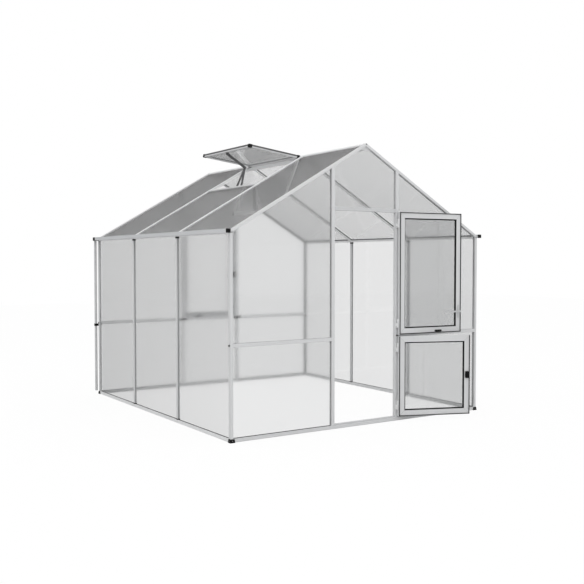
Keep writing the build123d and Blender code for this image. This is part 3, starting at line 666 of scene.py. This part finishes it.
# Door leaves: two mitred aluminium frames that hang one over the other on the right jamb.
# A black rim seal lies round the inner face of each leaf, and hairline mitres show at the corners.
# The glazing beads fill the corner between the frame and the pane.
rubber_black = (0.006, 0.006, 0.0065, 1)
rubber_black_worn = (0.016, 0.016, 0.0165, 1)
mitre_bright = (0.45, 0.45, 0.453, 1)
mitre_dull = (0.38, 0.38, 0.383, 1)
mitre_width = 0.0012
mitre_height = 0.0003
leaf_edge_gap = 0.007
leaf_width = 0.62
leaf_thickness = 0.025
leaf_stile = 0.05
leaf_bead = (0.0095, 0.0105, 0.0015)
rim_width = 0.0065
rim_height = 0.0045
rim_inset = 0.0015
joints = {joint["child"]: joint for joint in frame["record"]["behaviour"]["joints"]}
seal_rubber = moulded("seal_rubber", rubber_black, rubber_black_worn)
joint_shade = aluminium("joint_shade", along_z, bright=mitre_bright, dull=mitre_dull)
dress(metal_z, "upper_leaf_frame", "lower_leaf_frame")


def leaf_spot(body, inward, forward, height):
    """A place on a leaf at rest: in from the hinge edge, out from the inner face, above the ground."""
    hinge = Vector(joints[body]["pos_m"])
    rest = radians(-joints[body]["range_deg"][0])
    shut = Vector((-leaf_edge_gap - inward, leaf_thickness / 2 + forward, 0))
    swung = Matrix.Rotation(rest, 3, "Z") @ shut
    return Vector((hinge.x + swung.x, hinge.y + swung.y, height))


def leaf_bar(shape, spot, start, end, width, levels):
    """Add a straight strip on a leaf's face between two points given as inward and height."""
    start, end = Vector(start), Vector(end)
    way = (end - start).normalized()
    square = Vector((-way.y, way.x)) * width / 2
    plan = (start - square, end - square, end + square, start + square)
    closed_rings(shape, [[spot(point.x, level, point.y) for point in plan] for level in levels])


def rim(body, sides):
    """Rim seal along the named sides of a leaf's inner face."""
    low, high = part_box(body + "_frame")
    half = rim_width / 2
    near, away = rim_inset + half, leaf_width - rim_inset - half
    foot, head = low.z + rim_inset + half, high.z - rim_inset - half
    runs = {
        "hinge": ((near, foot - half), (near, head + half)),
        "free": ((away, foot - half), (away, head + half)),
        "foot": ((near + half, foot), (away - half, foot)),
        "head": ((near + half, head), (away - half, head)),
    }
    shape = bmesh.new()
    for side in sides:
        leaf_bar(shape, partial(leaf_spot, body), *runs[side], rim_width, (0, rim_height))
    mesh_piece(body + "_rim_seal", shape, seal_rubber, body)


def mitres(leaf, body, spot):
    """Hairline mitres on both faces of a leaf's frame."""
    low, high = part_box(leaf + "_frame")
    shape = bmesh.new()
    for inward, turn_x in ((0, 1), (leaf_width, -1)):
        for height, turn_z in ((low.z, 1), (high.z, -1)):
            inner_corner = (inward + turn_x * leaf_stile, height + turn_z * leaf_stile)
            for levels in ((0, mitre_height), (-leaf_thickness - mitre_height, -leaf_thickness)):
                leaf_bar(shape, spot, (inward, height), inner_corner, mitre_width, levels)
    mesh_piece(leaf + "_mitres", shape, joint_shade, body)


rim("upper_leaf", ("hinge", "free", "foot", "head"))
rim("lower_leaf", ("hinge", "free", "foot"))
for body in ("upper_leaf", "lower_leaf"):
    mitres(body, body, partial(leaf_spot, body))
    seals(body + "_seal", body + "_pane", body, leaf_bead, seal_rubber)

# Hinges: satin steel plates on the jamb with a pin, and knuckles on the edge of each leaf.
# Three small black screw heads show on each plate, one over two.
steel_bright = (0.9, 0.905, 0.91, 1)
steel_dull = (0.82, 0.825, 0.83, 1)
steel_metallic = 0.25
hinge_inset = 0.092
hinge_plate = 0.003
hinge_screw_rise = 0.026
hinge_screw_side = 0.0057
hinge_screw_radius, hinge_screw_height = 0.0018, 0.001
steel = aluminium("satin_steel", along_z, bright=steel_bright, dull=steel_dull, metallic=steel_metallic)
dress(steel, "jamb_hinges", "upper_leaf_hinges", "lower_leaf_hinges", "rear_window_hinges")
hinge_screws = []
for body in ("upper_leaf", "lower_leaf"):
    low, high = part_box(body + "_frame")
    pin = joints[body]["pos_m"][0]
    for middle in (low.z + hinge_inset, high.z - hinge_inset):
        for aside, rise in ((0, hinge_screw_rise), (-hinge_screw_side, -hinge_screw_rise),
                            (hinge_screw_side, -hinge_screw_rise)):
            hinge_screws.append(((pin + aside, front - hinge_plate, middle + rise), (0, -1, 0)))
fixings("hinge_screws", hinge_screws, hinge_screw_radius, hinge_screw_height, black_polymer,
        "house")

# Handles and latches: a flat steel lever and a moulded turn latch on the upper leaf, a moulded stile latch
# on the lower one. The rear window is closed by a stile latch and a turn latch of the same patterns.
lever_bright = (0.62, 0.625, 0.63, 1)
lever_dull = (0.55, 0.555, 0.56, 1)
lever_steel = aluminium("lever_steel", along_x, bright=lever_bright, dull=lever_dull, metallic=steel_metallic)
dress(lever_steel, "upper_leaf_handle")
dress(black_polymer, "upper_leaf_latch", "lower_leaf_latch", "rear_window_handle", "rear_window_latch")

# Rear window: a closed leaf of the same aluminium section as the door's, hung on the rear posts.
# Its pane sits in rubber beads on both faces, and hairline mitres show at the corners of its frame.
window_bead = (0.006, 0.009, 0.0015)
dress(metal_z, "rear_window_frame")
seals("rear_window_seal", "rear_window_pane", "house", window_bead, grey_rubber_and_painted_shade)
window_low, window_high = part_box("rear_window_frame")


def window_spot(inward, forward, height):
    """A place on the rear window: in from its left edge seen from outside, out from its inner face."""
    return Vector((window_high.x - inward, window_low.y - forward, height))


mitres("rear_window", "house", window_spot)

# Rear joiners: moulded plates on the inner side of the rear gable, over the crossings of posts and mid rails.
# Each is a black plate with sloping edges, held by the bolts of the crossing.
joiner_half = 0.04
joiner_tall = 0.021
joiner_thick = 0.009
joiner_slope = 0.003
rear_low, rear_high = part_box("rear_posts")
shape = bmesh.new()
for x in (rear_low.x + jamb_face / 2, rear_high.x - jamb_face / 2):
    rings = []
    for pull, y in ((0, rear_low.y), (joiner_slope, rear_low.y - joiner_thick)):
        wide, tall = joiner_half - pull, joiner_tall / 2 - pull
        rings.append([(x - wide, y, rail_middle - tall), (x + wide, y, rail_middle - tall),
                      (x + wide, y, rail_middle + tall), (x - wide, y, rail_middle + tall)])
    closed_rings(shape, rings)
mesh_piece("rear_joiners", shape, black_polymer, "house")

# Studio: a pale floor, white all round to the eye and through the panes. In mirror images the floor is dim
# and the room grey, lighter on the door side and darker behind the house.
# One broad soft lamp hangs overhead on the door side.
floor_size = 40
floor_tone = (0.9, 0.9, 0.9, 1)
floor_white_share = 0.94
mirrored_floor = (0.22, 0.22, 0.222, 1)
room_light = (0.95, 0.95, 0.952, 1)
mirror_fade_front, mirror_fade_rear = -0.3, 0.3
mirrored_front_tone, mirrored_rear_tone = 0.45, 0.19
half_a_bounce = 0.5
lamp_size = 6
lamp_power = 130
lamp_place = Vector((-1.6, -1.6, 7))
lamp_aim = Vector((0, 1.3, 0.9))
half = floor_size / 2
floor_mesh = bpy.data.meshes.new("floor")
floor_corners = [(-half, -half, 0), (half, -half, 0), (half, half, 0), (-half, half, 0)]
floor_mesh.from_pydata(floor_corners, [], [(0, 1, 2, 3)])
floor = bpy.data.objects.new("floor", floor_mesh)
bpy.context.scene.collection.objects.link(floor)


def reckon(tree, operation, one, two):
    """A value from nought to one, worked out from two others."""
    result = tree.nodes.new("ShaderNodeMath")
    result.operation = operation
    result.use_clamp = True
    return feed(tree, result, {0: one, 1: two}).outputs["Value"]


def plain_view(tree):
    """Two masks: what the eye sees directly or straight through the panes, and mirror rays."""
    path = tree.nodes.new("ShaderNodeLightPath").outputs
    straight = reckon(tree, "ADD", path["Is Camera Ray"], path["Is Transmission Ray"])
    unreflected = reckon(tree, "LESS_THAN", path["Glossy Depth"], half_a_bounce)
    return reckon(tree, "MULTIPLY", straight, unreflected), path["Is Glossy Ray"]


pale, tree = new_finish("pale_floor")
seen, glossy = plain_view(tree)
matte = feed(tree, tree.nodes["Principled BSDF"], {
    "Base Color": floor_tone, "Roughness": 1, "Specular IOR Level": 0})
glow = add_node(tree, "Emission", {"Color": white})
dim = add_node(tree, "Emission", {"Color": mirrored_floor})
shown = add_node(tree, "MixShader", {
    "Fac": reckon(tree, "MULTIPLY", seen, floor_white_share),
    1: matte.outputs["BSDF"], 2: glow.outputs["Emission"]})
surface = add_node(tree, "MixShader", {
    "Fac": reckon(tree, "SUBTRACT", glossy, seen),
    1: shown.outputs["Shader"], 2: dim.outputs["Emission"]})
feed(tree, tree.nodes["Material Output"], {"Surface": surface.outputs["Shader"]})
floor_mesh.materials.append(pale)

world = bpy.data.worlds.new("studio")
bpy.context.scene.world = world
world.use_nodes = True
tree = world.node_tree
seen, glossy = plain_view(tree)
place = tree.nodes.new("ShaderNodeTexCoord").outputs["Generated"]
walls = add_node(tree, "MapRange", {
    "Value": add_node(tree, "SeparateXYZ", {"Vector": place}).outputs["Y"],
    "From Min": mirror_fade_front, "From Max": mirror_fade_rear,
    "To Min": mirrored_front_tone, "To Max": mirrored_rear_tone}).outputs["Result"]
room = mixed_colour(tree, glossy, room_light, walls)
feed(tree, tree.nodes["Background"], {"Color": mixed_colour(tree, seen, room, white)})

lamp_data = bpy.data.lights.new("soft_lamp", "AREA")
lamp_data.shape = "RECTANGLE"
lamp_data.size = lamp_size
lamp_data.size_y = lamp_size
lamp_data.energy = lamp_power
lamp = bpy.data.objects.new("soft_lamp", lamp_data)
lamp.location = lamp_place
lamp.rotation_mode = "QUATERNION"
lamp.rotation_quaternion = (lamp_aim - lamp_place).to_track_quat("-Z", "Y")
bpy.context.scene.collection.objects.link(lamp)

# Camera: eye height, off the front left corner, as the picture was taken.
# Its place, its angles and its lens, in millimetres, come from the corners of the house in the picture.
camera_place = (-4.1144, -5.2334, 1.3158)
camera_dip = 2.1583
camera_heading = -33.1642
camera_lens = 51.22
camera_sensor = 36
camera_data = bpy.data.cameras.new("camera")
camera_data.sensor_width = camera_sensor
camera_data.lens = camera_lens
camera = bpy.data.objects.new("camera", camera_data)
camera.location = camera_place
camera.rotation_euler = (radians(90 - camera_dip), 0, radians(camera_heading))
bpy.context.scene.collection.objects.link(camera)
bpy.context.scene.camera = camera
bpy.context.scene.view_settings.view_transform = "Standard"
